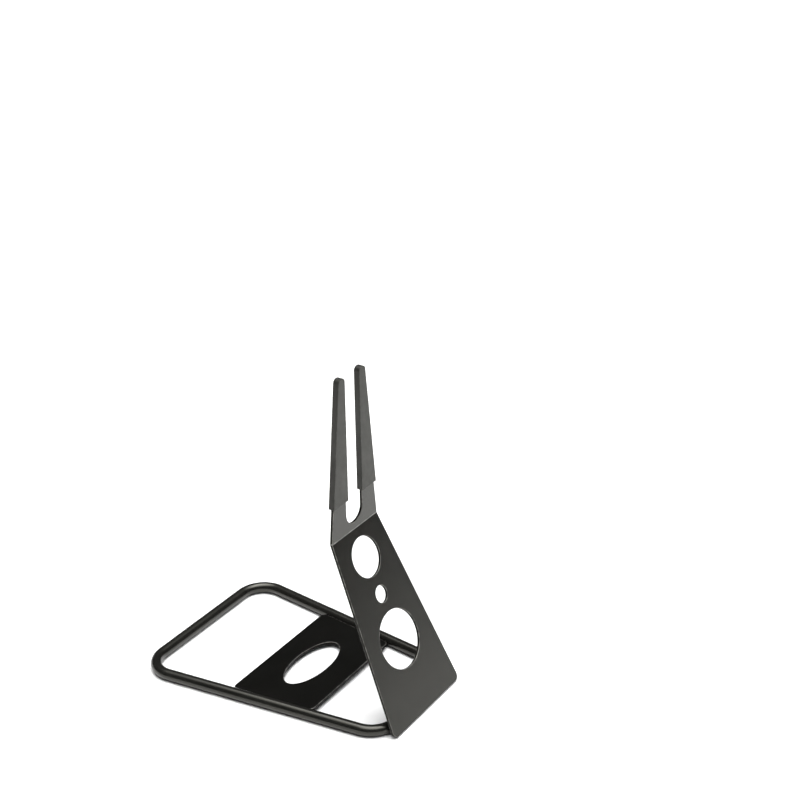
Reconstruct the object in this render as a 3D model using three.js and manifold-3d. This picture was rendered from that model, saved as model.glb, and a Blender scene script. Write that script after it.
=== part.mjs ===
// A floor stand that holds a bicycle upright by its rear wheel. A loop of round tube lies on
// the floor. The tyre stands on a pierced plate between the loop's side bars. A bent sheet
// upright rises from the loop's near end into a fork, and two plastic sleeves on the fork's
// tines rest against the rear hub, one on each side of the axle.
//
// Millimetres. X runs across the bicycle and is 0 at the wheel's mid-plane while the pieces
// are made. Y runs along the bicycle, towards its rear. Z is up, and 0 is the floor. At the
// end the whole stand is moved so that its origin is the bottom centre of its bounding box.

import * as THREE from 'three';
import { mergeVertices } from 'three/addons/utils/BufferGeometryUtils.js';
import Module from 'manifold-3d';

const wasm = await Module();
wasm.setup();

// ---- Driving dimensions ----

const GAP = 0.3; // between neighbouring pieces
const SHEET = 3.5; // thickness of the upright and of the wheel plate

// Base loop, given by its centre line
const TUBE_RADIUS = 6.5;
const TUBE_WALL = 1.5;
const TUBE_FACETS = 16;
const LOOP_FAR_X = -161; // end bar on the far side of the wheel
const LOOP_HALF_WIDTH = 88.4; // side bars, where they cross the wheel's mid-plane
const LOOP_TAPER = 0.12; // half width lost for each millimetre towards the upright
const LOOP_CORNER = 30;
const LOOP_CORNER_STEPS = 9;
const BUTT_WELD = 2; // length of the weld that closes the loop

// Upright: a tapered blank, bent once across
const LEAN = THREE.MathUtils.degToRad(65.5); // of the panel, from the floor
const FORK_X = 61; // outer face of the fork
const BEND_Z = 200.8; // where the outer faces of panel and fork meet
const BEND_RADIUS = 2;
const BEND_STRIPS = 4;
const FOOT_CLEARANCE = 0.5; // under the panel's lowest edge
const FOOT_CORNER = 7;
const BEND_HALF_WIDTH = 42.1;
const EDGE_TAPER = 0.11; // half width lost for each millimetre up the blank

// Holes in the panel, by their distance up it from the foot
const LARGE_HOLE = { up: 86, radius: 33, facets: 56 };
const SMALL_HOLE = { up: 140.3, radius: 9.5, facets: 28 };
const UPPER_HOLE = { up: 185, radius: 22.8, facets: 44 };

// Fork
const SLOT_HALF_WIDTH = 14.6;
const SLOT_CORNER = 14.2;
const SLOT_BOTTOM_Z = 209.2;
const TINE_TOP_Z = 381.5;
const TINE_CORNER = 3.4;

// Sleeves
const SLEEVE_WALL = 1.5;
const SLEEVE_BOTTOM_Z = 241.5;
const SLEEVE_CORNER = 5.2;

// Wheel plate, level with the axes of the side bars
const PLATE_HALF_LENGTH = 50; // along X
const PLATE_CORNER = 6;
const PLATE_HOLE = { x: -2, y: -2.5, alongX: 20.5, alongY: 46, facets: 56 }; // centre and radii

// Fillet welds, as stitches
const STITCH = 30;
const UPRIGHT_STITCH_Y = 25;
const PLATE_STITCH_X = 27;
const UPRIGHT_WELD_LEG = 7.5; // up the panel, from the tube's axis
const UPRIGHT_WELD_ARC = { from: 31, to: 66 }; // degrees round the tube, up from the panel's normal
const PLATE_WELD_LEG = 10.5; // under the plate, from the tube's axis
const PLATE_WELD_ARC = 32; // degrees round the tube, down from the plate's underside

const CORNER_STEPS = 6;

// ---- Worked out from them ----

const LOOP_TAPER_ANGLE = Math.atan(LOOP_TAPER);
const TUBE_CORNER_RADIUS = TUBE_RADIUS / Math.cos(Math.PI / TUBE_FACETS);
const TUBE_CLEAR_RADIUS = TUBE_CORNER_RADIUS + GAP;
const PLATE_TOP_Z = TUBE_RADIUS + SHEET / 2;
const PLATE_BOTTOM_Z = TUBE_RADIUS - SHEET / 2;
const BEND_TURN = Math.PI / 2 - LEAN;
const BEND_SETBACK = BEND_RADIUS * Math.tan(BEND_TURN / 2);
const FOOT_Z = FOOT_CLEARANCE + SHEET * Math.cos(LEAN); // outer edge of the foot
const PANEL_LENGTH = (BEND_Z - FOOT_Z) / Math.sin(LEAN);
const FOOT_X = FORK_X + PANEL_LENGTH * Math.cos(LEAN);
const SLEEVE_OFFSET = GAP + SLEEVE_WALL;
const PANEL_UP = new THREE.Vector3(-Math.cos(LEAN), 0, Math.sin(LEAN));
const PANEL_OUT = new THREE.Vector3(Math.sin(LEAN), 0, Math.cos(LEAN));
const X_AXIS = new THREE.Vector3(1, 0, 0);
const Y_AXIS = new THREE.Vector3(0, 1, 0);
const Z_AXIS = new THREE.Vector3(0, 0, 1);

// The near bar lies in the angle between the floor and the panel, clear of its inner face.
const PANEL_INNER_X_AT_BAR =
  FOOT_X - (TUBE_RADIUS - FOOT_Z) / Math.tan(LEAN) - SHEET / Math.sin(LEAN);
const LOOP_NEAR_X = PANEL_INNER_X_AT_BAR - (TUBE_RADIUS + GAP) / Math.sin(LEAN);

// ---- Materials ----

const powderCoat = new THREE.MeshStandardMaterial({
  name: 'powder_coat', color: 0x33322f, roughness: 0.5, metalness: 0.25,
});
const weldMetal = new THREE.MeshStandardMaterial({
  name: 'coated_weld', color: 0x2b2a28, roughness: 0.55, metalness: 0.25,
});
const sleevePlastic = new THREE.MeshStandardMaterial({
  name: 'sleeve_plastic', color: 0x45443f, roughness: 0.75, metalness: 0,
});

// ---- Outlines ----

// The arc that rounds one corner, as points with their directions of travel.
function roundedCorner(before, corner, after, radius, steps) {
  const arriving = corner.clone().sub(before).normalize();
  const leaving = after.clone().sub(corner).normalize();
  const turn = Math.atan2(arriving.cross(leaving), arriving.dot(leaving));
  const start = corner.clone().addScaledVector(arriving, -radius * Math.tan(Math.abs(turn) / 2));
  const leftward = new THREE.Vector2(-arriving.y, arriving.x);
  const centre = start.clone().addScaledVector(leftward, Math.sign(turn) * radius);
  const origin = new THREE.Vector2();
  return Array.from({ length: steps + 1 }, (_, step) => {
    const angle = (turn * step) / steps;
    return {
      point: start.clone().rotateAround(centre, angle),
      direction: arriving.clone().rotateAround(origin, angle),
    };
  });
}

// A closed outline through corners given as [x, y, radius]; a radius of 0 is a sharp corner.
function outline(corners) {
  const points = corners.map(([x, y]) => new THREE.Vector2(x, y));
  return corners.flatMap(([, , radius], i) => {
    if (radius === 0) {
      return [points[i]];
    }
    const before = points.at(i - 1);
    const after = points[(i + 1) % points.length];
    const arc = roundedCorner(before, points[i], after, radius, CORNER_STEPS);
    return arc.map((station) => station.point);
  });
}

function ellipse(x, y, radiusX, radiusY, facets) {
  return Array.from({ length: facets }, (_, i) => {
    const angle = (2 * Math.PI * i) / facets;
    return new THREE.Vector2(x + radiusX * Math.cos(angle), y + radiusY * Math.sin(angle));
  });
}

function circleArc(radius, fromDegrees, toDegrees) {
  return Array.from({ length: CORNER_STEPS + 1 }, (_, step) => {
    const degrees = THREE.MathUtils.lerp(fromDegrees, toDegrees, step / CORNER_STEPS);
    const angle = THREE.MathUtils.degToRad(degrees);
    return new THREE.Vector2(radius * Math.cos(angle), radius * Math.sin(angle));
  });
}

// ---- Solids ----

function toSolid(geometry) {
  const bare = geometry.clone();
  bare.deleteAttribute('normal');
  bare.deleteAttribute('uv');
  const merged = mergeVertices(bare, 1e-4);
  return new wasm.Manifold(new wasm.Mesh({
    numProp: 3,
    vertProperties: new Float32Array(merged.attributes.position.array),
    triVerts: new Uint32Array(merged.index.array),
  }));
}

function toGeometry(solid) {
  const { vertProperties, triVerts } = solid.getMesh();
  const geometry = new THREE.BufferGeometry();
  geometry.setAttribute('position', new THREE.BufferAttribute(vertProperties, 3));
  geometry.setIndex(new THREE.BufferAttribute(triVerts, 1));
  geometry.computeVertexNormals();
  return geometry;
}

// An outline pushed through from one depth to another. The outline's two axes and its depth
// become the three given directions.
function prism(points, holes, from, to, directions) {
  const shape = new THREE.Shape(points);
  shape.holes = holes.map((hole) => new THREE.Path(hole));
  const geometry = new THREE.ExtrudeGeometry(shape, { depth: to - from, bevelEnabled: false });
  geometry.translate(0, 0, from);
  geometry.applyMatrix4(new THREE.Matrix4().makeBasis(...directions));
  return geometry;
}

function piece(name, geometry, material) {
  const mesh = new THREE.Mesh(geometry, material);
  mesh.name = name;
  return mesh;
}

// ---- Base loop ----

function loopHalfWidth(x) {
  return LOOP_HALF_WIDTH - LOOP_TAPER * x;
}

// A path through given points that keeps their spacing and their directions.
class StationPath extends THREE.Curve {
  constructor(stations) {
    super();
    this.stations = stations;
  }

  getSpacedPoints() {
    return this.stations.map(({ point }) => new THREE.Vector3(point.x, point.y, TUBE_RADIUS));
  }

  getTangentAt(fraction) {
    const { direction } = this.stations[Math.round(fraction * (this.stations.length - 1))];
    return new THREE.Vector3(direction.x, direction.y, 0);
  }
}

// From the middle of the near bar, once round, and back to it.
function loopStations() {
  const towardsRear = new THREE.Vector2(0, 1);
  const endGap = BUTT_WELD / 2 + GAP;
  const start = new THREE.Vector2(LOOP_NEAR_X, endGap);
  const finish = new THREE.Vector2(LOOP_NEAR_X, -endGap);
  const path = [
    start,
    new THREE.Vector2(LOOP_NEAR_X, loopHalfWidth(LOOP_NEAR_X)),
    new THREE.Vector2(LOOP_FAR_X, loopHalfWidth(LOOP_FAR_X)),
    new THREE.Vector2(LOOP_FAR_X, -loopHalfWidth(LOOP_FAR_X)),
    new THREE.Vector2(LOOP_NEAR_X, -loopHalfWidth(LOOP_NEAR_X)),
    finish,
  ];
  const corners = path.slice(1, -1).flatMap((corner, i) =>
    roundedCorner(path[i], corner, path[i + 2], LOOP_CORNER, LOOP_CORNER_STEPS));
  return [
    { point: start, direction: towardsRear },
    ...corners,
    { point: finish, direction: towardsRear },
  ];
}

// Section of the tube, with a flat facet facing the floor.
function tubeSection() {
  const halfFacet = Math.PI / TUBE_FACETS;
  const origin = new THREE.Vector2();
  const turned = (points) => points.map((point) => point.rotateAround(origin, halfFacet));
  const inner = (TUBE_RADIUS - TUBE_WALL) / Math.cos(halfFacet);
  const section = new THREE.Shape(
    turned(ellipse(0, 0, TUBE_CORNER_RADIUS, TUBE_CORNER_RADIUS, TUBE_FACETS)),
  );
  section.holes = [new THREE.Path(turned(ellipse(0, 0, inner, inner, TUBE_FACETS)))];
  return section;
}

function baseLoop() {
  const stations = loopStations();
  const geometry = new THREE.ExtrudeGeometry(tubeSection(), {
    steps: stations.length - 1,
    extrudePath: new StationPath(stations),
  });
  return piece('base_loop', geometry, powderCoat);
}

// The ring of weld that joins the loop's two ends, ground flush with the tube.
function buttWeld() {
  const geometry = new THREE.ExtrudeGeometry(tubeSection(), {
    depth: BUTT_WELD, bevelEnabled: false,
  });
  geometry.translate(0, 0, -BUTT_WELD / 2);
  geometry.applyMatrix4(new THREE.Matrix4().makeBasis(Z_AXIS, X_AXIS, Y_AXIS));
  const mesh = piece('loop_butt_weld', geometry, weldMetal);
  mesh.position.set(LOOP_NEAR_X, 0, TUBE_RADIUS);
  return mesh;
}

// ---- Upright ----
//
// Its blank is described flat: across, along and depth. Along is 0 at the bend, positive up
// the fork and negative down the panel. Depth is 0 at the outer face.

function blankHalfWidth(along) {
  return BEND_HALF_WIDTH - EDGE_TAPER * along;
}

function uprightOutline() {
  const foot = -PANEL_LENGTH;
  const top = TINE_TOP_Z - BEND_Z;
  const slotBottom = SLOT_BOTTOM_Z - BEND_Z;
  const rightSide = [
    [SLOT_HALF_WIDTH, slotBottom, SLOT_CORNER],
    [SLOT_HALF_WIDTH, top, TINE_CORNER],
    [blankHalfWidth(top), top, TINE_CORNER],
    [blankHalfWidth(foot), foot, FOOT_CORNER],
  ];
  const leftSide = rightSide.map(([across, along, radius]) => [-across, along, radius]);
  return outline([...rightSide, ...leftSide.reverse()]);
}

function uprightBlank() {
  const holes = [LARGE_HOLE, SMALL_HOLE, UPPER_HOLE].map(({ up, radius, facets }) =>
    ellipse(0, up - PANEL_LENGTH, radius, radius, facets));
  const directions = [X_AXIS, Y_AXIS, Z_AXIS];
  return toSolid(prism(uprightOutline(), holes, -SHEET, 0, directions));
}

// Where a point of the flat blank lies once the upright is bent, as x and z.
function bent(along, depth) {
  if (Math.abs(along) < BEND_SETBACK) {
    const turned = BEND_TURN * (1 - (along + BEND_SETBACK) / (2 * BEND_SETBACK));
    const axisX = FORK_X + BEND_RADIUS;
    const axisZ = BEND_Z + BEND_SETBACK;
    const reach = BEND_RADIUS - depth;
    return [axisX - reach * Math.cos(turned), axisZ - reach * Math.sin(turned)];
  }
  if (along > 0) {
    return [FORK_X + depth, BEND_Z + along];
  }
  return [
    FORK_X + along * PANEL_UP.x + depth * PANEL_OUT.x,
    BEND_Z + along * PANEL_UP.z + depth * PANEL_OUT.z,
  ];
}

function bendStrip(flat) {
  const { vertProperties, triVerts } = flat.getMesh();
  const placed = new Float32Array(vertProperties.length);
  for (let i = 0; i < placed.length; i += 3) {
    const [across, along, depth] = vertProperties.subarray(i, i + 3);
    const [x, z] = bent(along, depth);
    placed.set([x, across, z], i);
  }
  // Across, along and depth become Y, Z and X, which keeps every face turned outwards.
  return new wasm.Manifold(new wasm.Mesh({ numProp: 3, vertProperties: placed, triVerts }));
}

// The blank is parted into strips across the bend, each is carried to its place round the
// bend, and the strips are joined again.
function upright() {
  const blank = uprightBlank();
  const cuts = Array.from({ length: BEND_STRIPS + 1 }, (_, i) =>
    BEND_SETBACK * ((2 * i) / BEND_STRIPS - 1));
  const panel = blank.trimByPlane([0, -1, 0], -cuts[0]);
  const fork = blank.trimByPlane([0, 1, 0], cuts.at(-1));
  const between = cuts.slice(1).map((high, i) =>
    blank.trimByPlane([0, 1, 0], cuts[i]).trimByPlane([0, -1, 0], -high));
  const whole = [panel, ...between, fork].map(bendStrip).reduce((a, b) => a.add(b));
  return piece('upright', toGeometry(whole), powderCoat);
}

// ---- Sleeves ----

// The outline of a tine grown by an offset, from a bottom height up; side is 1 or -1.
function tineOutline(offset, bottomZ, cornerRadius, side) {
  const slopeOffset = offset * Math.hypot(1, EDGE_TAPER);
  const outer = (z) => side * (blankHalfWidth(z - BEND_Z) + slopeOffset);
  const inner = side * (SLOT_HALF_WIDTH - offset);
  const top = TINE_TOP_Z + offset;
  return outline([
    [inner, bottomZ, 0],
    [outer(bottomZ), bottomZ, 0],
    [outer(top), top, cornerRadius],
    [inner, top, cornerRadius],
  ]);
}

// A moulded cap pushed down over a tine: closed at the top, open at the bottom.
function sleeve(name, side) {
  const directions = [Y_AXIS, Z_AXIS, X_AXIS];
  const shellOutline = tineOutline(SLEEVE_OFFSET, SLEEVE_BOTTOM_Z, SLEEVE_CORNER, side);
  const innerX = FORK_X - SHEET;
  const shell = prism(
    shellOutline, [], innerX - SLEEVE_OFFSET, FORK_X + SLEEVE_OFFSET, directions,
  );
  const pocketOutline = tineOutline(GAP, SLEEVE_BOTTOM_Z - SHEET, TINE_CORNER + GAP, side);
  const pocket = prism(pocketOutline, [], innerX - GAP, FORK_X + GAP, directions);
  return piece(name, toGeometry(toSolid(shell).subtract(toSolid(pocket))), sleevePlastic);
}

// ---- Wheel plate ----

// From a side bar's axis to the end of the plate, measured along Y.
const PLATE_END_INSET = TUBE_CLEAR_RADIUS / Math.cos(LOOP_TAPER_ANGLE);

function wheelPlate() {
  const end = (x) => loopHalfWidth(x) - PLATE_END_INSET;
  const reach = PLATE_HALF_LENGTH;
  const plateOutline = outline([
    [-reach, -end(-reach), PLATE_CORNER],
    [reach, -end(reach), PLATE_CORNER],
    [reach, end(reach), PLATE_CORNER],
    [-reach, end(-reach), PLATE_CORNER],
  ]);
  const hole = ellipse(
    PLATE_HOLE.x, PLATE_HOLE.y, PLATE_HOLE.alongX, PLATE_HOLE.alongY, PLATE_HOLE.facets,
  );
  const directions = [X_AXIS, Y_AXIS, Z_AXIS];
  const geometry = prism(plateOutline, [hole], PLATE_BOTTOM_Z, PLATE_TOP_Z, directions);
  return piece('wheel_plate', geometry, powderCoat);
}

// ---- Fillet welds ----
//
// Each section is drawn from the tube's axis: first away from the tube, then along the face
// of the other piece.

// In the angle between the near bar and the panel's inner face.
function uprightWeld(name, y) {
  const face = TUBE_RADIUS; // the panel's inner face is a gap further out
  const { from, to } = UPRIGHT_WELD_ARC;
  const root = TUBE_CLEAR_RADIUS * Math.sin(THREE.MathUtils.degToRad(from));
  const section = [
    new THREE.Vector2(face, root),
    new THREE.Vector2(face, UPRIGHT_WELD_LEG),
    ...circleArc(TUBE_CLEAR_RADIUS, to, from),
  ];
  const along = Y_AXIS.clone().negate();
  const geometry = prism(section, [], -STITCH / 2, STITCH / 2, [PANEL_OUT, PANEL_UP, along]);
  const mesh = piece(name, geometry, weldMetal);
  mesh.position.set(LOOP_NEAR_X, y, TUBE_RADIUS);
  return mesh;
}

// Under the end of the wheel plate, against the inner side of a side bar; side is 1 or -1.
function plateWeld(name, x, side) {
  const face = PLATE_BOTTOM_Z - GAP - TUBE_RADIUS;
  const meeting = THREE.MathUtils.radToDeg(Math.asin(face / TUBE_CLEAR_RADIUS));
  const section = [
    ...circleArc(TUBE_CLEAR_RADIUS, meeting - PLATE_WELD_ARC, meeting),
    new THREE.Vector2(PLATE_WELD_LEG, face),
  ];
  const inward = new THREE.Vector3(-LOOP_TAPER, -side, 0).normalize();
  const along = inward.clone().cross(Z_AXIS);
  const geometry = prism(section, [], -STITCH / 2, STITCH / 2, [inward, Z_AXIS, along]);
  const mesh = piece(name, geometry, weldMetal);
  mesh.position.set(x, side * loopHalfWidth(x), TUBE_RADIUS);
  return mesh;
}

// ---- Assembly ----

const stand = new THREE.Group();
stand.add(baseLoop(), buttWeld(), wheelPlate(), upright());
stand.add(sleeve('front_sleeve', -1), sleeve('rear_sleeve', 1));
stand.add(uprightWeld('upright_weld_front', -UPRIGHT_STITCH_Y));
stand.add(uprightWeld('upright_weld_rear', UPRIGHT_STITCH_Y));
for (const [end, side] of [['front', -1], ['rear', 1]]) {
  stand.add(plateWeld(`plate_weld_${end}_near`, PLATE_STITCH_X, side));
  stand.add(plateWeld(`plate_weld_${end}_far`, -PLATE_STITCH_X, side));
}

const lowestX = LOOP_FAR_X - TUBE_RADIUS;
stand.position.x = -(lowestX + FOOT_X) / 2;

export default stand;
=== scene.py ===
from math import acos, atan2, cos, degrees, hypot, pi, radians, sin, tan

import bmesh
import bpy
from mathutils import Matrix, Vector
from mathutils.geometry import tessellate_polygon


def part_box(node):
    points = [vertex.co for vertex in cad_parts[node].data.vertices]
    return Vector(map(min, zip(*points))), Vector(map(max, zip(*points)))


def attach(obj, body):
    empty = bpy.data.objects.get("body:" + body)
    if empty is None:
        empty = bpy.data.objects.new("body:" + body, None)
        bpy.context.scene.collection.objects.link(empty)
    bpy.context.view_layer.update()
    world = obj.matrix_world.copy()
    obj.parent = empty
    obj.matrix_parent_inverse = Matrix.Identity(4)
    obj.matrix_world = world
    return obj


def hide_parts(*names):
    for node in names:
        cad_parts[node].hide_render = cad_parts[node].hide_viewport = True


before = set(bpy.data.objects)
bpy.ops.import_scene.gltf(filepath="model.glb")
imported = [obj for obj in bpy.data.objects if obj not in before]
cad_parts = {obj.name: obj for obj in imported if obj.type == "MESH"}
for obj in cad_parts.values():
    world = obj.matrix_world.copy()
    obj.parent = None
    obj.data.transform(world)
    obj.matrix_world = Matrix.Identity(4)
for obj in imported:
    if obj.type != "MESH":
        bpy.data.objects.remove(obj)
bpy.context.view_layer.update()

# A floor stand for a bicycle's rear wheel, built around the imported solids. Metres, in their
# frame: X across the bicycle, Y along it, Z up. Places come from the solids' boxes.

MM = 0.001
GAP = 0.3 * MM  # between neighbouring pieces
AXIS_X = Vector((1, 0, 0))
AXIS_Y = Vector((0, 1, 0))
AXIS_Z = Vector((0, 0, 1))


def centre_x(node):
    low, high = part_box(node)
    return (low.x + high.x) / 2


# ---- Sizes ----

TUBE_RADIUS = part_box("base_loop")[1].z / 2
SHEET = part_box("wheel_plate")[1].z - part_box("wheel_plate")[0].z
EDGE_RADIUS = 0.7 * MM  # on every cut edge of the sheet, under its coat

# Base loop, by its centre line
WHEEL_X = centre_x("wheel_plate")  # the wheel's mid-plane
LOOP_FAR_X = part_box("base_loop")[0].x + TUBE_RADIUS
LOOP_NEAR_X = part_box("base_loop")[1].x - TUBE_RADIUS
LOOP_TAPER = 0.12  # half width lost along X, towards the upright
LOOP_HALF_WIDTH = 88.4 * MM  # at the wheel's mid-plane
LOOP_CORNER = 30 * MM
LOOP_FLATTENING = 0.035  # of the tube's radius, in the middle of each bend
LOOP_END_GAP = 1.2 * MM  # from the middle of the near bar to either end of the tube

# Upright
LEAN = radians(65.5)
FORK_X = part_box("upright")[0].x + SHEET  # outer face of the fork
FOOT_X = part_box("upright")[1].x  # outer edge of the foot
PANEL_LENGTH = (FOOT_X - FORK_X) / cos(LEAN)
FOOT_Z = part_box("upright")[0].z + SHEET * cos(LEAN)
BEND_Z = FOOT_Z + PANEL_LENGTH * sin(LEAN)
TINE_TOP_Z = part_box("upright")[1].z
BEND_RADIUS = 2 * MM
FOOT_CORNER = 7 * MM
BEND_HALF_WIDTH = 42.1 * MM
EDGE_TAPER = 0.11  # half width lost up the blank
PANEL_HOLES = [(86 * MM, 33 * MM), (140.3 * MM, 9.5 * MM), (185 * MM, 22.8 * MM)]
SLOT_HALF_WIDTH = 14.6 * MM
SLOT_CORNER = 14.2 * MM
SLOT_BOTTOM_Z = 209.2 * MM
TINE_CORNER = 3.4 * MM
CREASE_HIGHLIGHT = 0.9  # painted highlight along the bend: how pale the coat is made there, 0 to 1
CREASE_TOP = 1.1 * MM  # height of the painted highlight band above the bend
CREASE_FADE = 0.3 * MM  # over which the painted highlight dies away

# Sleeves
SLEEVE_OFFSET = FORK_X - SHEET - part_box("front_sleeve")[0].x
SLEEVE_BOTTOM_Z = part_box("front_sleeve")[0].z
SLEEVE_CORNER = 5.2 * MM
SLEEVE_EDGE = 0.6 * MM
SLEEVE_SURPLUS = 4 * SLEEVE_EDGE  # drawn below the sleeve's lower end, then cut off
POCKET_EDGE = 0.1 * MM

# Wheel plate
PLATE_TOP_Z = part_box("wheel_plate")[1].z
PLATE_HALF_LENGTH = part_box("wheel_plate")[1].x - WHEEL_X
PLATE_CORNER = 6 * MM
PLATE_HOLE = (WHEEL_X - 2 * MM, -2.5 * MM, 20.5 * MM, 46 * MM)  # centre and radii

# Welds. Arcs are in degrees round the tube.
BUTT_WELD_WIDTH = 4.4 * MM
BUTT_WELD_CROWN = 0.32 * MM
BUTT_WELD_RIPPLES = 17
UPRIGHT_WELD_ARC = (26, 66)
UPRIGHT_WELD_LEG = 7.2 * MM
PLATE_WELD_ARC = 32
PLATE_WELD_LEG = 10.2 * MM
BEAD_PITCH = 2.3 * MM  # from one ripple to the next
BEAD_SUNK = 0.25 * MM  # into the metal on both sides
BEAD_CROWN = 0.45 * MM
BEAD_RIPPLE = 0.3 * MM  # added to the crown

PANEL_UP = Vector((-cos(LEAN), 0, sin(LEAN)))
PANEL_OUT = Vector((sin(LEAN), 0, cos(LEAN)))


# ---- Outlines: lists of 2D points, with the metal on the left of the way round ----

def turned(vector, angle):
    return Vector((
        vector.x * cos(angle) - vector.y * sin(angle),
        vector.x * sin(angle) + vector.y * cos(angle),
    ))


def rounded_corner(before, corner, after, radius, steps):
    """The arc that rounds a corner, as pairs of a point and the direction of travel there."""
    arriving = (corner - before).normalized()
    leaving = (after - corner).normalized()
    turn = atan2(arriving.x * leaving.y - arriving.y * leaving.x, arriving.dot(leaving))
    start = corner - arriving * radius * tan(abs(turn) / 2)
    leftward = Vector((-arriving.y, arriving.x))
    centre = start + leftward * (radius if turn > 0 else -radius)
    angles = [turn * step / steps for step in range(steps + 1)]
    return [(centre + turned(start - centre, angle), turned(arriving, angle)) for angle in angles]


def outline(corners):
    """A closed outline through corners given as (x, y, radius); a radius of 0 is sharp."""
    steps = 14
    points = [Vector((x, y)) for x, y, _ in corners]
    result = []
    for i, (_, _, radius) in enumerate(corners):
        if radius == 0:
            result.append(points[i])
            continue
        after = points[(i + 1) % len(points)]
        arc = rounded_corner(points[i - 1], points[i], after, radius, steps)
        result.extend(point for point, _ in arc)
    return result


def oval_hole(x, y, radius_x, radius_y):
    """Clockwise, so that the metal round it is on the left."""
    facets = 112
    angles = [-2 * pi * i / facets for i in range(facets)]
    return [Vector((x + radius_x * cos(angle), y + radius_y * sin(angle))) for angle in angles]


def moved_into_metal(points, inset):
    """The outline with each side moved into the metal by the inset."""
    result = []
    for i, point in enumerate(points):
        arriving = (point - points[i - 1]).normalized()
        leaving = (points[(i + 1) % len(points)] - point).normalized()
        sides = Vector((-arriving.y, arriving.x)), Vector((-leaving.y, leaving.x))
        spread = 1 + sides[0].dot(sides[1])
        result.append(point + (sides[0] + sides[1]) * inset / spread)
    return result


# ---- Meshes ----

def finished(name, bm, slot, material, *nodes):
    """Turns a bmesh into a piece of the stand that stands for the given solids."""
    mesh = bpy.data.meshes.new(name)
    bm.to_mesh(mesh)
    bm.free()
    piece = bpy.data.objects.new(name, mesh)
    bpy.context.scene.collection.objects.link(piece)
    mesh.materials.append(material)
    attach(piece, "root")
    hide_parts(*nodes)
    return piece


def rounded_sheet(loops, thickness, radius, steps=4):
    """A flat plate with rounded edges, as a bmesh. The first loop is its outline and the rest
    are its holes. Its face lies at depth 0 and its back at minus the thickness. The point
    attribute "edge" is 1 along the middle of each rounded edge, and "side" is 1 on the cut
    sides between the edges; both are 0 elsewhere."""
    bm = bmesh.new()
    edge = bm.verts.layers.float.new("edge")
    cut_side = bm.verts.layers.float.new("side")
    quarter = [pi / 2 * step / steps for step in range(steps + 1)]
    # The third value is the edge mask, which paints the coat paler along each rounded edge: partly
    # wear, partly a painted highlight.
    face_side = [
        (radius * (1 - sin(a)), -radius * (1 - cos(a)), sin(2 * a), sin(a) ** 4) for a in quarter
    ]
    back_side = [
        (inset, -thickness - depth, wear_and_sheen, sideways)
        for inset, depth, wear_and_sheen, sideways in reversed(face_side)
    ]
    rings = []
    for inset, depth, wear_and_sheen, sideways in face_side + back_side:
        ring = []
        for loop in loops:
            verts = [bm.verts.new((p.x, p.y, depth)) for p in moved_into_metal(loop, inset)]
            for vert in verts:
                vert[edge] = wear_and_sheen
                vert[cut_side] = sideways
            ring.append(verts)
        rings.append(ring)
    for upper_ring, lower_ring in zip(rings, rings[1:]):
        for upper, lower in zip(upper_ring, lower_ring):
            for i, vert in enumerate(upper):
                j = (i + 1) % len(upper)
                side = bm.faces.new((lower[i], lower[j], upper[j], vert))
                side.smooth = True
    for ring, facing in ((rings[0], 1), (rings[-1], -1)):
        flat_face(bm, ring, facing)
    return bm


def flat_face(bm, ring, facing):
    """Fills a ring of loops with triangles whose normals point up or down in depth."""
    triangles = tessellate_polygon([[vert.co for vert in loop] for loop in ring])
    verts = [vert for loop in ring for vert in loop]
    for a, b, c in triangles:
        corner_a, corner_b, corner_c = (verts[i].co for i in (a, b, c))
        upward = (corner_b - corner_a).cross(corner_c - corner_a).z > 0
        order = (a, b, c) if upward == (facing > 0) else (c, b, a)
        bm.faces.new([verts[i] for i in order])


def placed(bm, x_direction, y_direction, z_direction, place):
    """Carries a bmesh's three axes to three directions, and its origin to a place."""
    basis = Matrix((x_direction, y_direction, z_direction)).transposed().to_4x4()
    bmesh.ops.transform(bm, matrix=Matrix.Translation(place) @ basis, verts=bm.verts)
    return bm


def swept(stations, section):
    """A smooth skin through sections, closed at both ends. Each station is a centre and the
    two directions in which its section lies. section(i) gives the points of section i in
    those directions."""
    bm = bmesh.new()
    rings = []
    for i, (centre, across, up) in enumerate(stations):
        rings.append([bm.verts.new(centre + across * p.x + up * p.y) for p in section(i)])
    for ring, following in zip(rings, rings[1:]):
        for i, vert in enumerate(ring):
            j = (i + 1) % len(ring)
            side = bm.faces.new((vert, ring[j], following[j], following[i]))
            side.smooth = True
    bm.faces.new(list(reversed(rings[0])))
    bm.faces.new(rings[-1])
    bmesh.ops.recalc_face_normals(bm, faces=bm.faces)
    return bm


def everything(bm):
    return bm.verts[:] + bm.edges[:] + bm.faces[:]


# ---- Base loop ----

def loop_half_width(x):
    return LOOP_HALF_WIDTH - LOOP_TAPER * (x - WHEEL_X)


def loop_stations():
    """Pairs of a point on the loop's centre line and the direction of travel, from the middle
    of the near bar once round and back, with how far each is through its corner, 0 to 1."""
    near = loop_half_width(LOOP_NEAR_X)
    far = loop_half_width(LOOP_FAR_X)
    path = [Vector(corner) for corner in (
        (LOOP_NEAR_X, LOOP_END_GAP), (LOOP_NEAR_X, near), (LOOP_FAR_X, far),
        (LOOP_FAR_X, -far), (LOOP_NEAR_X, -near), (LOOP_NEAR_X, -LOOP_END_GAP),
    )]
    steps = 28
    stations = [(path[0], Vector((0, 1)), 0)]
    for before, corner, after in zip(path, path[1:], path[2:]):
        arc = rounded_corner(before, corner, after, LOOP_CORNER, steps)
        stations.extend((*station, i / steps) for i, station in enumerate(arc))
    stations.append((path[-1], Vector((0, 1)), 0))
    return stations


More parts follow.
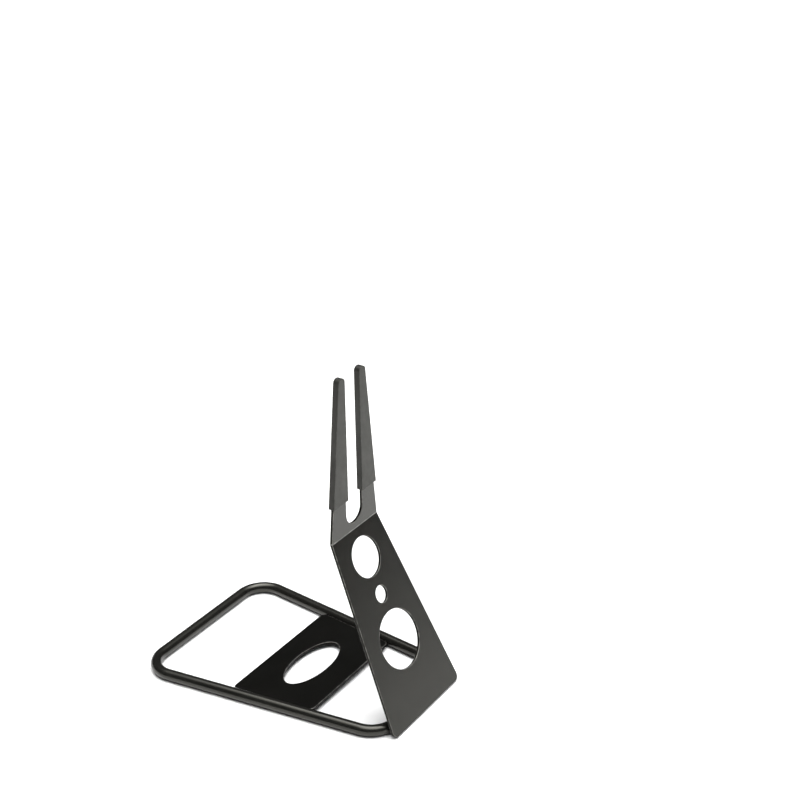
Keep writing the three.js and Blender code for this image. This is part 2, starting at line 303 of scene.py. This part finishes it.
def base_loop(material):
    """Round tube that is a little flattened through each bend, as drawn tube is."""
    stations = loop_stations()
    facets = 56

    def section(i):
        squeeze = 1 - LOOP_FLATTENING * sin(pi * stations[i][2])
        angles = [2 * pi * k / facets for k in range(facets)]
        return [Vector((TUBE_RADIUS * squeeze * cos(a), TUBE_RADIUS * sin(a))) for a in angles]

    frames = [
        (Vector((p.x, p.y, TUBE_RADIUS)), Vector((d.y, -d.x, 0)), AXIS_Z)
        for p, d, _ in stations
    ]
    bm = swept(frames, section)
    return finished("base_tube", bm, "powder_coat", material, "base_loop")


def butt_weld(material):
    """The ring of weld that closes the loop: rippled above, ground flush where it meets the
    floor and the panel."""
    facets = 96
    steps = 16
    start = radians(-25)  # the raised part's lower edge, on the wheel's side
    ripple_depth = 0.25
    end_step = 0.05 * MM  # how far the ring's ends lie under the tube's skin

    def section(i):
        swell = sin(pi * i / steps)
        sunk = end_step if i in (0, steps) else 0
        points = []
        for k in range(facets):
            angle = 2 * pi * k / facets
            raised = max(0, sin(angle - start)) ** 0.5
            ripple = 1 - ripple_depth + ripple_depth * abs(sin(angle * BUTT_WELD_RIPPLES / 2))
            reach = TUBE_RADIUS + BUTT_WELD_CROWN * swell * raised * ripple - sunk
            points.append(Vector((reach * cos(angle), reach * sin(angle))))
        return points

    def centre(i):
        return Vector((LOOP_NEAR_X, BUTT_WELD_WIDTH * (i / steps - 0.5), TUBE_RADIUS))

    frames = [(centre(i), -AXIS_X, AXIS_Z) for i in range(steps + 1)]
    bm = swept(frames, section)
    return finished("butt_weld_ring", bm, "coated_weld", material, "loop_butt_weld")


# ---- Upright ----
#
# Its blank is drawn flat. Across is Y. Along is 0 at the bend, positive up the fork and
# negative down the panel. Depth is 0 at the outer face.

BEND_TURN = pi / 2 - LEAN
BEND_SETBACK = BEND_RADIUS * tan(BEND_TURN / 2)


def blank_half_width(along):
    return BEND_HALF_WIDTH - EDGE_TAPER * along


def upright_loops():
    foot = -PANEL_LENGTH
    top = TINE_TOP_Z - BEND_Z
    slot_bottom = SLOT_BOTTOM_Z - BEND_Z
    right_side = [
        (blank_half_width(foot), foot, FOOT_CORNER),
        (blank_half_width(top), top, TINE_CORNER),
        (SLOT_HALF_WIDTH, top, TINE_CORNER),
        (SLOT_HALF_WIDTH, slot_bottom, SLOT_CORNER),
    ]
    left_side = [(-across, along, radius) for across, along, radius in reversed(right_side)]
    holes = [oval_hole(0, up - PANEL_LENGTH, radius, radius) for up, radius in PANEL_HOLES]
    return [outline(right_side + left_side), *holes]


def bent(co):
    """Where a point of the flat blank lies once the upright is bent."""
    across, along, depth = co
    if abs(along) < BEND_SETBACK * 0.999:
        still_to_turn = BEND_TURN * (1 - (along + BEND_SETBACK) / (2 * BEND_SETBACK))
        reach = BEND_RADIUS - depth
        return Vector((
            FORK_X + BEND_RADIUS - reach * cos(still_to_turn),
            across,
            BEND_Z + BEND_SETBACK - reach * sin(still_to_turn),
        ))
    if along > 0:
        return Vector((FORK_X + depth, across, BEND_Z + along))
    bend_line = Vector((FORK_X, across, BEND_Z))
    return bend_line + PANEL_UP * along + PANEL_OUT * depth


def upright(material):
    bm = rounded_sheet(upright_loops(), SHEET, EDGE_RADIUS)
    strips = 10
    cuts = [BEND_SETBACK * (2 * i / strips - 1) for i in range(strips + 1)]
    for cut in (cuts[0] - CREASE_FADE, *cuts, CREASE_TOP, CREASE_TOP + CREASE_FADE):
        bmesh.ops.bisect_plane(
            bm, geom=everything(bm), dist=1e-8, plane_co=(0, cut, 0), plane_no=AXIS_Y,
        )
    for face in bm.faces:
        if abs(face.calc_center_median().y) < BEND_SETBACK:
            face.smooth = True
    # Just above the bend the edge mask is raised, which paints a highlight along the crease.
    edge = bm.verts.layers.float["edge"]
    for vert in bm.verts:
        if 0 <= vert.co.y < CREASE_TOP * 1.01:
            vert[edge] = max(vert[edge], CREASE_HIGHLIGHT)
        vert.co = bent(vert.co)
    return finished("bent_upright", bm, "powder_coat", material, "upright")


# ---- Sleeves ----

def tine_outline(offset, bottom_z, corner_radius, side):
    """The outline of a tine grown by an offset, in Y and Z; side is 1 or -1."""
    slope_offset = offset * hypot(1, EDGE_TAPER)
    inner = SLOT_HALF_WIDTH - offset
    top = TINE_TOP_Z + offset
    corners = [
        (inner, bottom_z, 0),
        (blank_half_width(bottom_z - BEND_Z) + slope_offset, bottom_z, 0),
        (blank_half_width(top - BEND_Z) + slope_offset, top, corner_radius),
        (inner, top, corner_radius),
    ]
    if side > 0:
        return outline(corners)
    return outline([(-y, z, radius) for y, z, radius in reversed(corners)])


def sleeve(name, node, side, material):
    """A moulded cap with soft edges, open below, with a pocket that clears the tine."""
    below = SLEEVE_BOTTOM_Z - SLEEVE_SURPLUS
    shell_outline = tine_outline(SLEEVE_OFFSET, below, SLEEVE_CORNER, side)
    shell = rounded_sheet([shell_outline], SHEET + 2 * SLEEVE_OFFSET, SLEEVE_EDGE, steps=6)
    cut = bmesh.ops.bisect_plane(
        shell, geom=everything(shell), plane_co=(0, SLEEVE_BOTTOM_Z, 0), plane_no=-AXIS_Y,
        clear_outer=True,
    )
    cut_edges = [item for item in cut["geom_cut"] if isinstance(item, bmesh.types.BMEdge)]
    bmesh.ops.edgeloop_fill(shell, edges=cut_edges)
    directions = (AXIS_Y, AXIS_Z, AXIS_X)
    placed(shell, *directions, Vector((FORK_X + SLEEVE_OFFSET, 0, 0)))
    bmesh.ops.recalc_face_normals(shell, faces=shell.faces)

    pocket_outline = tine_outline(GAP, below, TINE_CORNER + GAP, side)
    pocket = rounded_sheet([pocket_outline], SHEET + 2 * GAP, POCKET_EDGE, steps=1)
    placed(pocket, *directions, Vector((FORK_X + GAP, 0, 0)))
    bmesh.ops.recalc_face_normals(pocket, faces=pocket.faces)
    cutter_mesh = bpy.data.meshes.new("pocket")
    pocket.to_mesh(cutter_mesh)
    pocket.free()
    cutter = bpy.data.objects.new("pocket", cutter_mesh)
    bpy.context.scene.collection.objects.link(cutter)

    piece = finished(name, shell, "sleeve_plastic", material, node)
    cut_pocket = piece.modifiers.new("pocket", "BOOLEAN")
    cut_pocket.operation = "DIFFERENCE"
    cut_pocket.solver = "EXACT"
    cut_pocket.object = cutter
    with bpy.context.temp_override(object=piece, active_object=piece):
        bpy.ops.object.modifier_apply(modifier="pocket")
    bpy.data.objects.remove(cutter)
    return piece


# ---- Wheel plate ----

def wheel_plate(material):
    inset = (TUBE_RADIUS + GAP) * hypot(1, LOOP_TAPER)
    near = WHEEL_X + PLATE_HALF_LENGTH
    far = WHEEL_X - PLATE_HALF_LENGTH
    near_end = loop_half_width(near) - inset
    far_end = loop_half_width(far) - inset
    loops = [
        outline([
            (far, -far_end, PLATE_CORNER), (near, -near_end, PLATE_CORNER),
            (near, near_end, PLATE_CORNER), (far, far_end, PLATE_CORNER),
        ]),
        oval_hole(*PLATE_HOLE),
    ]
    bm = rounded_sheet(loops, SHEET, EDGE_RADIUS)
    placed(bm, AXIS_X, AXIS_Y, AXIS_Z, (0, 0, PLATE_TOP_Z))
    return finished("pierced_wheel_plate", bm, "powder_coat", material, "wheel_plate")


# ---- Fillet welds ----

def bead(name, node, place, outward, up, first, last, foot, leg, material):
    """A rippled fillet bead. It is drawn in the plane of the two directions, from the tube's
    axis: its root lies on the tube between the first and last angle, in degrees, and its other
    side on a face at the distance foot, up to the height leg."""
    low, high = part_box(node)
    along = outward.cross(up)
    length = abs(along.dot(high - low))
    steps = 72
    root_points = 8
    crown_points = 10
    tip = 0.004  # fraction of the length; keeps the end sections from shrinking to nothing
    tip_steepness = 5
    tip_size = 0.55  # of the full section

    def section(i):
        fraction = min(max(i / steps, tip), 1 - tip)
        taper = min(1, sin(pi * fraction) * tip_steepness) ** 0.5
        ripple = abs(sin(pi * (i / steps) * length / BEAD_PITCH))
        swell = (BEAD_CROWN + BEAD_RIPPLE * ripple) * taper
        root = [first + (last - first) * k / root_points for k in range(root_points + 1)]
        reach = TUBE_RADIUS - BEAD_SUNK
        points = [Vector((cos(radians(a)), sin(radians(a)))) * reach for a in root]
        toe = Vector((foot + BEAD_SUNK, leg))
        heel = points[-1]
        middle = (points[0] + points[-1]) / 2
        chord = [heel.lerp(toe, k / crown_points) for k in range(1, crown_points + 1)]
        normal = Vector((-(toe - heel).y, (toe - heel).x)).normalized()
        crown = [
            point + normal * swell * sin(pi * k / crown_points)
            for k, point in enumerate(chord, start=1)
        ]
        whole = [*points, *crown, Vector((foot + BEAD_SUNK, points[0].y))]
        scale = tip_size + (1 - tip_size) * taper
        return [middle + (point - middle) * scale for point in whole]

    frames = [
        (place + along * (length * (i / steps - 0.5)), outward, up)
        for i in range(steps + 1)
    ]
    bm = swept(frames, section)
    return finished(name, bm, "coated_weld", material, node)


def upright_welds(material):
    for end in ("front", "rear"):
        node = f"upright_weld_{end}"
        low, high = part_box(node)
        place = Vector((LOOP_NEAR_X, (low.y + high.y) / 2, TUBE_RADIUS))
        bead(
            f"upright_bead_{end}", node, place, PANEL_OUT, PANEL_UP,
            *UPRIGHT_WELD_ARC, TUBE_RADIUS + GAP, UPRIGHT_WELD_LEG, material,
        )


def plate_welds(material):
    underside = PLATE_TOP_Z - SHEET - TUBE_RADIUS
    meeting = degrees(acos(underside / TUBE_RADIUS))
    for end, side in (("front", -1), ("rear", 1)):
        for reach in ("near", "far"):
            node = f"plate_weld_{end}_{reach}"
            low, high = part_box(node)
            x = (low.x + high.x) / 2
            place = Vector((x, side * loop_half_width(x), TUBE_RADIUS))
            inward = Vector((-LOOP_TAPER, -side, 0)).normalized()
            # Seen from the plate, the face is the plate's underside and the tube stands beside it.
            bead(
                f"plate_bead_{end}_{reach}", node, place, AXIS_Z, inward,
                meeting, meeting + PLATE_WELD_ARC, underside, PLATE_WELD_LEG, material,
            )


# ---- Materials ----

# Tones are a darker and a paler one, between which the clouds run.
COAT_TINT = (1.0, 0.985, 0.88, 1)
SIDE_GLOSS = 0.3  # gloss of the cut sides, against the faces
COAT_TONES = ((0.005, 0.0049, 0.0043), (0.0075, 0.0073, 0.0064))
WELD_TONES = ((0.008, 0.0078, 0.0072), (0.011, 0.0107, 0.0098))
# Painted shade: near-black tones for the wheel plate, standing in for the shade of the wheel that
# stood over it.
WHEEL_SHADE_TONES = ((0.0015, 0.00145, 0.0013), (0.0025, 0.0024, 0.0022))
PLASTIC_TONES = ((0.013, 0.0129, 0.0118), (0.019, 0.0187, 0.0171))
DUST = (0.035, 0.034, 0.031)
# Pale colour for the edges and the bend: partly worn coat, partly a painted highlight.
EDGE_WEAR_AND_SHEEN = (0.24, 0.235, 0.22)
WORN_PLASTIC = (0.12, 0.118, 0.11)
RANGE_SOCKETS = ("From Min", "From Max", "To Min", "To Max")


class Shader:
    """A material's nodes, with short calls to add and join them."""

    def __init__(self, name):
        self.material = bpy.data.materials.new(name)
        self.material.use_nodes = True
        self.tree = self.material.node_tree
        self.surface = self.tree.nodes["Principled BSDF"]
        self.place = self.add("ShaderNodeTexCoord").outputs["Object"]

    def add(self, kind, **values):
        node = self.tree.nodes.new(kind)
        for key, value in values.items():
            setattr(node, key, value)
        return node

    def join(self, source, target):
        self.tree.links.new(source, target)

    def attribute(self, name):
        return self.add("ShaderNodeAttribute", attribute_name=name).outputs["Fac"]

    def noise(self, size, detail=2.0, rough=0.5):
        """Noise whose features are about the given size, in metres."""
        node = self.add("ShaderNodeTexNoise")
        node.inputs["Scale"].default_value = 1 / size
        node.inputs["Detail"].default_value = detail
        node.inputs["Roughness"].default_value = rough
        self.join(self.place, node.inputs["Vector"])
        return node.outputs["Fac"]

    def remap(self, source, low, high, to_low, to_high):
        node = self.add("ShaderNodeMapRange")
        for key, value in zip(RANGE_SOCKETS, (low, high, to_low, to_high)):
            node.inputs[key].default_value = value
        self.join(source, node.inputs["Value"])
        return node.outputs["Result"]

    def maths(self, operation, first, second):
        node = self.add("ShaderNodeMath", operation=operation)
        for socket, value in zip(node.inputs, (first, second)):
            if isinstance(value, (int, float)):
                socket.default_value = value
            else:
                self.join(value, socket)
        return node.outputs["Value"]

    def blend(self, factor, first, second):
        node = self.add("ShaderNodeMix", data_type="RGBA")
        self.join(factor, node.inputs["Factor"])
        for socket, value in zip((node.inputs["A"], node.inputs["B"]), (first, second)):
            if isinstance(value, tuple):
                socket.default_value = (*value, 1)
            else:
                self.join(value, socket)
        return node.outputs["Result"]

    def bump(self, height, distance, strength=1.0, under=None):
        node = self.add("ShaderNodeBump")
        node.inputs["Distance"].default_value = distance
        node.inputs["Strength"].default_value = strength
        self.join(height, node.inputs["Height"])
        if under:
            self.join(under, node.inputs["Normal"])
        return node.outputs["Normal"]


def powder_coat(name, tones, roughness, peel, gloss=0.5):
    """Satin powder coat: orange peel, faint dust and clouding; thinner, paler and shinier on the
    edges and over the bend, the paler colour partly wear and partly a painted highlight; dull on
    the cut sides."""
    shader = Shader(name)
    clouds = shader.remap(shader.noise(45 * MM, 3), 0.35, 0.65, 0, 1)
    speckle = shader.remap(shader.noise(0.9 * MM, 2), 0.62, 0.72, 0, 1)
    base = shader.blend(clouds, *tones)
    dusty = shader.blend(shader.maths("MULTIPLY", speckle, 0.3), base, DUST)
    # Pale band on the edges and over the bend: partly wear and thin coat, partly a painted
    # highlight.
    patchy = shader.remap(shader.noise(6 * MM, 3), 0.4, 0.6, 0.35, 1)
    wear_and_sheen = shader.maths("MULTIPLY", shader.attribute("edge"), patchy)
    edge_paled = shader.blend(shader.maths("MULTIPLY", wear_and_sheen, 0.8), dusty, EDGE_WEAR_AND_SHEEN)
    shader.join(edge_paled, shader.surface.inputs["Base Color"])
    shader.surface.inputs["Specular Tint"].default_value = COAT_TINT
    dull = shader.remap(shader.attribute("side"), 0, 1, gloss, gloss * SIDE_GLOSS)
    shader.join(dull, shader.surface.inputs["Specular IOR Level"])
    smoother = roughness - 0.015
    rougher = roughness + 0.02
    mottled = shader.remap(shader.noise(14 * MM, 4), 0.3, 0.7, smoother, rougher)
    polished = shader.maths("SUBTRACT", mottled, shader.maths("MULTIPLY", wear_and_sheen, 0.08))
    shader.join(polished, shader.surface.inputs["Roughness"])
    grain = shader.bump(shader.noise(0.35 * MM, 1), 0.006 * MM, 0.5)
    skin = shader.bump(shader.noise(1.6 * MM, 1), peel, 1.0, grain)
    shader.join(skin, shader.surface.inputs["Normal"])
    return shader.material


def moulded_plastic():
    """Matte black plastic with a fine spark texture and slight sink marks."""
    shader = Shader("sleeve_plastic")
    clouds = shader.remap(shader.noise(20 * MM, 3), 0.35, 0.65, 0, 1)
    base = shader.blend(clouds, *PLASTIC_TONES)
    scuffs = shader.remap(shader.noise(3 * MM, 4), 0.5, 0.62, 0.2, 1)
    rubbed = shader.maths("MULTIPLY", shader.attribute("edge"), scuffs)
    edge_paled = shader.blend(shader.maths("MULTIPLY", rubbed, 0.35), base, WORN_PLASTIC)
    shader.join(edge_paled, shader.surface.inputs["Base Color"])
    shader.surface.inputs["Specular Tint"].default_value = COAT_TINT
    dull = shader.remap(shader.attribute("side"), 0, 1, 0.5, 0.3)
    shader.join(dull, shader.surface.inputs["Specular IOR Level"])
    mottled = shader.remap(shader.noise(8 * MM, 4), 0.3, 0.7, 0.42, 0.52)
    shader.join(mottled, shader.surface.inputs["Roughness"])
    spark = shader.bump(shader.noise(0.5 * MM, 3, 0.7), 0.03 * MM, 0.6)
    sinks = shader.bump(shader.noise(25 * MM, 1), 0.25 * MM, 0.5, spark)
    shader.join(sinks, shader.surface.inputs["Normal"])
    return shader.material


# ---- Setting ----

FLOOR_SIZE = 16
FLOOR_TONES = ((0.90, 0.90, 0.90), (0.92, 0.92, 0.92))
FLOOR_ROUGHNESS = 0.7
TENT_TOWARDS = (0.10, 0.0, 1.0)  # the brightest part of the tent
TENT_RAMP = (0.76, 0.98, 0.07, 6.6)  # strength against how far a direction faces that part
OVERHEAD_PLACE = (0.0, 0.35, 2.2)
OVERHEAD_TARGET = (0.02, 0, 0.1)
OVERHEAD_SIZE = (2.4, 0.4)
OVERHEAD_POWER = 19
CAMERA_AZIMUTH = radians(31.05)
CAMERA_ELEVATION = radians(26.34)
CAMERA_ROLL = radians(0.12)
CAMERA_PLACE = Vector((0.90536, -1.20496, 1.04890))  # from the wheel's mid-plane
CAMERA_LENS = 71.55
CAMERA_SHIFT = (-0.0638, 0.0331)


def floor():
    bpy.ops.mesh.primitive_plane_add(size=FLOOR_SIZE)
    plane = bpy.context.object
    plane.name = "floor"
    shader = Shader("pale_floor")
    tone = shader.remap(shader.noise(0.7, 2), 0.3, 0.7, 0, 1)
    shader.join(shader.blend(tone, *FLOOR_TONES), shader.surface.inputs["Base Color"])
    shader.surface.inputs["Roughness"].default_value = FLOOR_ROUGHNESS
    plane.data.materials.append(shader.material)


def camera():
    data = bpy.data.cameras.new("camera")
    data.sensor_fit = "HORIZONTAL"
    data.sensor_width = 36
    data.lens = CAMERA_LENS
    data.shift_x, data.shift_y = CAMERA_SHIFT
    data.clip_start = 0.05
    data.clip_end = 60
    eye = bpy.data.objects.new("camera", data)
    bpy.context.scene.collection.objects.link(eye)
    back = Vector((
        sin(CAMERA_AZIMUTH) * cos(CAMERA_ELEVATION),
        -cos(CAMERA_AZIMUTH) * cos(CAMERA_ELEVATION),
        sin(CAMERA_ELEVATION),
    ))
    level_right = AXIS_Z.cross(back).normalized()
    level_up = back.cross(level_right)
    right = level_right * cos(CAMERA_ROLL) + level_up * sin(CAMERA_ROLL)
    up = back.cross(right)
    eye.matrix_world = (
        Matrix.Translation(Vector((WHEEL_X, 0, 0)) + CAMERA_PLACE)
        @ Matrix((right, up, back)).transposed().to_4x4()
    )
    bpy.context.scene.camera = eye


def overhead_softbox():
    data = bpy.data.lights.new("overhead", "AREA")
    data.shape = "RECTANGLE"
    data.size, data.size_y = OVERHEAD_SIZE
    data.energy = OVERHEAD_POWER
    lamp = bpy.data.objects.new("overhead", data)
    bpy.context.scene.collection.objects.link(lamp)
    direction = Vector(OVERHEAD_TARGET) - Vector(OVERHEAD_PLACE)
    lamp.location = OVERHEAD_PLACE
    lamp.rotation_euler = direction.to_track_quat("-Z", "Y").to_euler()


def sky():
    """A light tent: bright nearly straight overhead, and dark from there down all round."""
    world = bpy.data.worlds.new("tent")
    world.use_nodes = True
    nodes = world.node_tree.nodes
    link = world.node_tree.links.new
    direction = nodes.new("ShaderNodeTexCoord").outputs["Generated"]
    facing = nodes.new("ShaderNodeVectorMath")
    facing.operation = "DOT_PRODUCT"
    facing.inputs[1].default_value = Vector(TENT_TOWARDS).normalized()
    link(direction, facing.inputs[0])
    ramp = nodes.new("ShaderNodeMapRange")
    ramp.interpolation_type = "SMOOTHSTEP"
    for key, value in zip(RANGE_SOCKETS, TENT_RAMP):
        ramp.inputs[key].default_value = value
    link(facing.outputs["Value"], ramp.inputs["Value"])
    background = nodes["Background"]
    link(ramp.outputs["Result"], background.inputs["Strength"])
    background.inputs["Color"].default_value = (1, 1, 1, 1)
    bpy.context.scene.world = world


camera()
floor()
sky()
overhead_softbox()
bpy.context.scene.view_settings.view_transform = "Standard"

coat = powder_coat("powder_coat", COAT_TONES, roughness=0.25, peel=0.02 * MM)
weld_coat = powder_coat("coated_weld", WELD_TONES, roughness=0.36, peel=0.03 * MM)
# The wheel plate's coat is darker and duller than the rest: painted shade of the wheel that stood
# over it.
wheel_shade_coat = powder_coat(
    "plate_painted_shade_coat", WHEEL_SHADE_TONES, roughness=0.36, peel=0.02 * MM, gloss=0.12,
)
plastic = moulded_plastic()

base_loop(coat)
butt_weld(weld_coat)
wheel_plate(wheel_shade_coat)
upright(coat)
sleeve("front_tine_sleeve", "front_sleeve", -1, plastic)
sleeve("rear_tine_sleeve", "rear_sleeve", 1, plastic)
upright_welds(weld_coat)
plate_welds(weld_coat)
